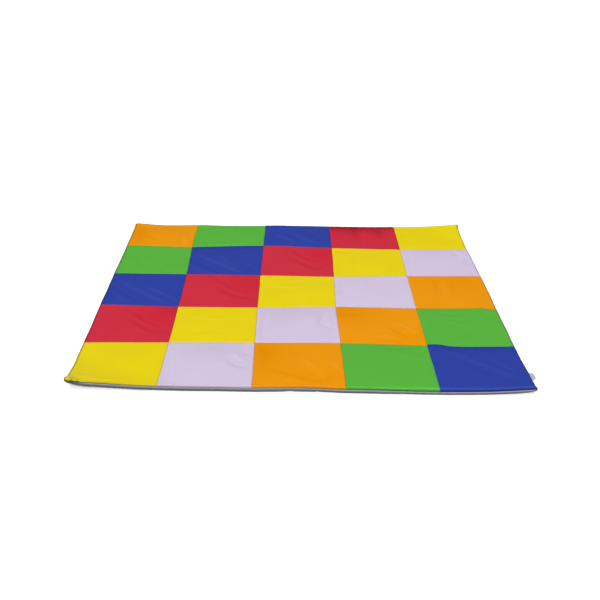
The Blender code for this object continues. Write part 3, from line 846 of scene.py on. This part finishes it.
def make_base(material):
    """The filled base under the squares: bed, grey edge at the side seam, side and underside."""
    rim_right, rim_back = around(0.0)
    travel = np.arange(AROUND) * (8 * HALF / AROUND)
    seam = side_seam_height(rim_right)
    roll = base_roll(rim_right, rim_back)
    corner = HALF - np.minimum(np.abs(rim_right), np.abs(rim_back))
    ledge = seam - LEDGE_DROP + CORNER_LEDGE_RISE * np.exp(-(corner / CORNER_LEDGE_REACH) ** 2)
    ledge += LEDGE_FOLLOW * np.minimum(gape(rim_right, rim_back), 0)
    pucker = side_pucker(travel)
    # Painted shade on the grey edge at the front corners
    corner_shade = np.zeros(AROUND)
    for side, share, reach in CORNER_SHADES:
        away = np.hypot(HALF - side * rim_right, HALF + rim_back)
        corner_shade += share * np.exp(-(away / reach) ** 4)
    rings = []
    shades = []

    def add_ring(inset, height, shade):
        shades.append(np.maximum(shade, corner_shade))
        inset = inset + np.zeros(AROUND)
        right, back = rim_right * (1 - inset / HALF), rim_back * (1 - inset / HALF)
        x, y = laid_out(right, back)
        height = np.where(height < ledge, ledge - (ledge - height) * (1 - pinch(right, back)), height)
        rings.append(np.stack((x, y, height + corner_lift(right, back)), axis=1))

    # The bed and the ledge under the squares' edges get full painted shade
    for inset in BED_INSETS:
        right, back = around(inset * MM)
        height = TOP_HEIGHT + crown(right, back) + swelling(right, back) - BED_DEPTH - SEAM_DIP
        add_ring(inset * MM, np.minimum(height, TOP_HEIGHT - BED_DEPTH - SEAM_DIP), 1)
    for inset, drop in LEDGE_RINGS:
        add_ring(inset, ledge - drop, 1)
    for angle in SIDE_FOLD_ANGLES:
        turn = math.radians(angle)
        out = 1 - math.cos(turn)
        height = ledge - SIDE_FOLD * (1 - math.sin(turn)) + SIDE_FOLD_PUCKER_UP * pucker
        # Painted shade at the top of the grey edge
        shade = SIDE_FOLD_SHADE * max(0, angle - 30) / 60
        add_ring(SIDE_FOLD * out - SIDE_FOLD_PUCKER_OUT * pucker, height, shade)
    start = ledge - SIDE_FOLD
    for angle in SIDE_ANGLES:
        turn = math.radians(angle)
        fade = math.cos(turn)
        bulge = SIDE_BULGE * math.sin(2 * turn) ** 2
        # Painted shade on the grey side, darker towards the floor
        shade = LOWER_SIDE_SHADE * min(1, angle / SIDE_SHADE_ANGLE)
        inset = roll * (1 - math.cos(turn)) - pucker * fade - bulge
        add_ring(inset, start * (1 - math.sin(turn)), shade)
    for inset in UNDERSIDE_INSETS:
        add_ring(inset * MM + roll, 0.0, LOWER_SIDE_SHADE)
    points = np.concatenate(rings)
    faces = []
    for ring in range(len(rings) - 1):
        upper = np.arange(AROUND) + ring * AROUND
        faces += list(band_faces(upper, upper + AROUND))
    faces.append(np.arange(AROUND))
    faces.append(np.arange(AROUND)[::-1] + (len(rings) - 1) * AROUND)
    piece = add_piece("base_cover", points, faces, material, "pad")
    add_value(piece, "fold", np.concatenate(shades))
    return piece


# Blank label tape folded into the side seam
LABEL_LENGTH = 42 * MM
LABEL_REACH = 17 * MM
LABEL_ROOT = 4 * MM
LABEL_CENTRE_Y = -652 * MM
LABEL_DROOP = 2 * MM
LABEL_CURL = 0.5 * MM
LABEL_SWELL = 0.4 * MM          # how much further out the middle of its outer end reaches
LABEL_SINK = 0.1 * MM           # its root, below the side seam's height
LABEL_BEND = 0.5 * MM           # room for the bend at its outer end
LABEL_STEPS = (22, 41)          # lines outwards and along
LABEL_COLOUR = (0.42, 0.43, 0.51)
TAPE = 0.42 * MM                # thickness of one layer
TAPE_GAP = 0.12 * MM            # between the two layers


def make_label(material):
    """Two layers of one tape, folded at the outer end."""
    outs = np.linspace(-LABEL_ROOT, LABEL_REACH - LABEL_BEND, LABEL_STEPS[0])
    upper = [(out, 0.0) for out in outs]
    turn = np.radians((-60, -30, 0, 30, 60))
    half = TAPE + TAPE_GAP / 2
    bend = [(outs[-1] + half * math.cos(a), -half - half * math.sin(a)) for a in turn]
    lower = [(out, -2 * half) for out in outs[::-1]]
    inner = TAPE_GAP / 2
    inner_upper = [(out, -TAPE) for out in outs]
    inner_bend = [(outs[-1] + inner * math.cos(a), -half - inner * math.sin(a)) for a in turn]
    inner_lower = [(out, -TAPE - TAPE_GAP) for out in outs[::-1]]
    outside = np.array(upper + bend + lower)
    inside = np.array(inner_upper + inner_bend + inner_lower)
    alongs = np.linspace(-0.5, 0.5, LABEL_STEPS[1])
    rows = []
    for share in alongs:
        for profile in (outside, inside):
            y_place = np.full(len(profile), LABEL_CENTRE_Y + share * LABEL_LENGTH)
            x, y = laid_out(np.full(len(profile), HALF), y_place)
            reach = np.maximum(profile[:, 0], 0) / LABEL_REACH
            curl = LABEL_CURL * math.sin(5.1 * share + 0.6) * reach ** 2
            droop = LABEL_DROOP * reach ** 2
            z = side_seam_height(HALF) - LABEL_SINK + profile[:, 1] - droop + curl
            z = z + corner_lift(np.full(len(profile), HALF), y_place)
            swell = LABEL_SWELL * np.cos(np.pi * share) * reach
            rows.append(np.stack((x + profile[:, 0] + swell, y, z), axis=1))
    outer = np.concatenate(rows[0::2])
    inner_points = np.concatenate(rows[1::2])
    count = len(outside)
    total = len(outer)
    faces = list(grid_faces(len(alongs), count, 0, False))
    faces += list(grid_faces(len(alongs), count, total, True))
    rim, inner_rim = grid_rim(len(alongs), count, 0), grid_rim(len(alongs), count, total)
    faces += list(band_faces(inner_rim, rim))
    piece = add_piece("label_tape", np.concatenate((outer, inner_points)), faces, material, "label_tab")
    return piece


class Nodes:
    """Short calls for the nodes of one material."""

    def __init__(self, name):
        self.material = bpy.data.materials.new(name)
        self.material.use_nodes = True
        self.tree = self.material.node_tree
        self.shader = self.tree.nodes["Principled BSDF"]
        self.place = self.add("ShaderNodeTexCoord").outputs["Object"]

    def add(self, kind, inputs=None, **settings):
        node = self.tree.nodes.new(kind)
        for key, value in settings.items():
            setattr(node, key, value)
        for key, value in (inputs or {}).items():
            self.put(node.inputs[key], value)
        return node

    def put(self, socket, value):
        if isinstance(value, bpy.types.NodeSocket):
            self.tree.links.new(value, socket)
        else:
            socket.default_value = value

    def surface(self, name, value):
        self.put(self.shader.inputs[name], value)

    def noise(self, scale, detail=2.0, roughness=0.5):
        inputs = {"Vector": self.place, "Scale": scale, "Detail": detail, "Roughness": roughness}
        return self.add("ShaderNodeTexNoise", inputs).outputs["Fac"]

    def spread(self, value, low, high, to_low, to_high):
        inputs = {0: value, 1: low, 2: high, 3: to_low, 4: to_high}
        return self.add("ShaderNodeMapRange", inputs).outputs[0]

    def maths(self, operation, first, second):
        return self.add("ShaderNodeMath", {0: first, 1: second}, operation=operation).outputs[0]

    def tint(self, colour, factor, other):
        inputs = {0: factor, 6: colour, 7: other}
        return self.add("ShaderNodeMix", inputs, data_type="RGBA").outputs[2]

    def bump(self, height, distance, strength, normal=None):
        inputs = {"Height": height, "Distance": distance, "Strength": strength}
        if normal is not None:
            inputs["Normal"] = normal
        return self.add("ShaderNodeBump", inputs).outputs["Normal"]


# How the vinyl's colour and gloss follow a piece's painted shading and deep values: painted shade,
# painted highlights, and a deeper colour with lower specular
PAINTED_SHADING_STRENGTH = 0.95            # share of the painted darkest or lightest colour where the painted shading is 1 or -1
PAINTED_SHADE_DARKEST = 0.18                # the darkest painted shade, as a share of the plain colour
PAINTED_HIGHLIGHT_GAIN = 1.1                # the painted highlight colour: a share of the plain one, and an addition
PAINTED_HIGHLIGHT_LIFT = 0.09
DEEPENING = 0.06                # power by which a deep colour's weaker channels fall
SPECULAR = 0.16
DEEP_SPECULAR = 0.02


def scaled(colour, share):
    """A colour made lighter or darker, with alpha."""
    return (*(min(1.0, channel * share) for channel in colour), 1.0)


def deepened(colour):
    """A colour with its weaker channels weakened further."""
    return tuple(channel * (channel / max(colour)) ** DEEPENING for channel in colour)


def vinyl(name, colour, roughness=0.40, mottle=0.02, grain=0.55):
    """Satin vinyl with a fine soft grain, slightly uneven in colour and gloss, with painted shade and
    painted highlights from a piece's values.
    """
    n = Nodes(name)
    broad = n.noise(7.0, 3.0)
    fine = n.noise(120.0, 3.0)
    darker, lighter = scaled(colour, 1 - mottle), scaled(colour, 1 + mottle)
    shade = n.tint(darker, n.spread(broad, 0.3, 0.7, 0, 1), lighter)
    shade = n.tint(shade, n.spread(fine, 0.35, 0.75, 0, 0.35), darker)
    # Deeper colour, painted where less sheen shows
    deep = n.add("ShaderNodeAttribute", attribute_name="deep").outputs["Fac"]
    shade = n.tint(shade, deep, scaled(deepened(colour), 1))
    # Painted shade and painted highlights from the piece's values
    fold = n.add("ShaderNodeAttribute", attribute_name="fold").outputs["Fac"]
    shade = n.tint(shade, n.maths("MULTIPLY", fold, PAINTED_SHADING_STRENGTH), scaled(colour, PAINTED_SHADE_DARKEST))
    painted_highlight_colour = tuple(PAINTED_HIGHLIGHT_GAIN * channel + PAINTED_HIGHLIGHT_LIFT for channel in colour)
    shade = n.tint(shade, n.maths("MULTIPLY", fold, -PAINTED_SHADING_STRENGTH), scaled(painted_highlight_colour, 1))
    n.surface("Base Color", shade)
    gloss = n.noise(38.0, 4.0, 0.6)
    rough = n.spread(gloss, 0.3, 0.7, roughness - 0.05, roughness + 0.05)
    n.surface("Roughness", n.maths("SUBTRACT", rough, n.maths("MULTIPLY", fold, 0.05)))
    n.surface("Specular IOR Level", n.spread(deep, 0, 1, SPECULAR, DEEP_SPECULAR))
    inputs = {"Vector": n.place, "Scale": 1150.0, "Randomness": 0.9}
    cells = n.add("ShaderNodeTexVoronoi", inputs, feature="SMOOTH_F1").outputs["Distance"]
    pores = n.spread(cells, 0.1, 0.75, 1.0, 0.0)
    normal = n.bump(pores, 0.00012, grain)
    soft = n.noise(260.0, 3.0)
    n.surface("Normal", n.bump(soft, 0.0002, 0.35, normal))
    return n.material


def woven_tape(name, colour):
    """Smooth woven tape."""
    n = Nodes(name)
    along = n.add("ShaderNodeTexWave", {"Vector": n.place, "Scale": 620.0}, bands_direction="X")
    across = n.add("ShaderNodeTexWave", {"Vector": n.place, "Scale": 480.0}, bands_direction="Y")
    weave = n.maths("MULTIPLY", along.outputs["Fac"], across.outputs["Fac"])
    cloud = n.noise(90.0, 3.0)
    shade = n.tint(scaled(colour, 0.93), n.spread(cloud, 0.3, 0.7, 0, 1), scaled(colour, 1.0))
    n.surface("Base Color", n.tint(shade, n.spread(weave, 0, 1, 0.25, 0), scaled(colour, 0.7)))
    n.surface("Roughness", n.spread(cloud, 0.3, 0.7, 0.5, 0.65))
    n.surface("Normal", n.bump(weave, 0.00015, 0.8))
    return n.material


def floor_material():
    """Matt white studio floor."""
    n = Nodes("studio_floor")
    cloud = n.noise(0.6, 2.0)
    shade = n.tint((0.97, 0.97, 0.97, 1), n.spread(cloud, 0.3, 0.7, 0, 1), (0.99, 0.99, 0.99, 1))
    n.surface("Base Color", shade)
    n.surface("Roughness", 0.9)
    n.surface("Specular IOR Level", 0.1)
    return n.material


def make_floor():
    """A wide pale floor."""
    reach = 60.0
    data = bpy.data.meshes.new("studio_floor")
    corners = [(-reach, -reach, 0), (reach, -reach, 0), (reach, reach, 0), (-reach, reach, 0)]
    data.from_pydata(corners, [], [(0, 1, 2, 3)])
    data.materials.append(floor_material())
    floor = bpy.data.objects.new("studio_floor", data)
    bpy.context.scene.collection.objects.link(floor)


def make_sun(name, from_right, from_back, elevation, softness, strength, glossy=True):
    """A distant soft light, from a direction given by its floor bearing and its elevation.

    One that isn't glossy lights the vinyl without a mirrored glare.
    """
    data = bpy.data.lights.new(name, "SUN")
    data.angle = math.radians(softness)
    data.energy = strength
    light = bpy.data.objects.new(name, data)
    bearing = math.atan2(from_right, -from_back)
    light.rotation_euler = (math.radians(90 - elevation), 0, bearing)
    light.visible_glossy = glossy
    bpy.context.scene.collection.objects.link(light)


# The photograph's camera, fitted to the corners of the squares; angles in radians
FOCAL_PIXELS = 926.998933
PHOTO_WIDTH = 600
SENSOR_WIDTH = 36
CAMERA_PLACE = (-0.0324519, -3.32042994, 1.51321156)
CAMERA_TURN = -0.0134744870
CAMERA_PITCH = 0.432426378      # downwards
CAMERA_ROLL = 0.0167947273


def make_camera():
    """The photograph's view."""
    data = bpy.data.cameras.new("camera")
    data.sensor_width = SENSOR_WIDTH
    data.lens = FOCAL_PIXELS / PHOTO_WIDTH * SENSOR_WIDTH
    data.clip_end = 200
    camera = bpy.data.objects.new("camera", data)
    turn = Matrix.Rotation(CAMERA_TURN, 4, "Z")
    pitch = Matrix.Rotation(math.pi / 2 - CAMERA_PITCH, 4, "X")
    roll = Matrix.Rotation(CAMERA_ROLL, 4, "Z")
    place = Matrix.Translation(CAMERA_PLACE)
    camera.matrix_world = place @ turn @ pitch @ roll
    bpy.context.scene.collection.objects.link(camera)
    bpy.context.scene.camera = camera


def make_world(level):
    """Even dim surroundings."""
    world = bpy.data.worlds.new("studio")
    world.use_nodes = True
    background = world.node_tree.nodes["Background"]
    background.inputs["Color"].default_value = (1, 1, 1, 1)
    background.inputs["Strength"].default_value = level
    bpy.context.scene.world = world


# Base colours in linear light
COLOURS = {
    "orange": (0.622, 0.230, 0.001),
    "green": (0.073, 0.333, 0.0355),
    "blue": (0.0188, 0.0385, 0.263),
    "red": (0.459, 0.0203, 0.0393),
    "yellow": (0.595, 0.480, 0.004),
    "lilac": (0.486, 0.414, 0.549),
    "grey": (0.176, 0.174, 0.202),
}

make_camera()
make_world(level=0.07)
bpy.context.scene.view_settings.view_transform = "Standard"
make_sun("overhead", -0.1, -0.2, elevation=82, softness=70, strength=1.2)
make_sun("front", -0.12, -1.0, elevation=34, softness=20, strength=4.6, glossy=False)
make_sun("back", 0.0, 1.0, elevation=74, softness=30, strength=0.45)
make_floor()

finishes = {name: vinyl(name + "_vinyl", colour) for name, colour in COLOURS.items()}
base = make_base(finishes["grey"])
for row in range(1, SQUARES + 1):
    for column in range(1, SQUARES + 1):
        colour = COLOUR_ORDER[(row + column - 2) % len(COLOUR_ORDER)]
        square = make_square(row, column, finishes[colour])
label = make_label(woven_tape("label_tape", LABEL_COLOUR))
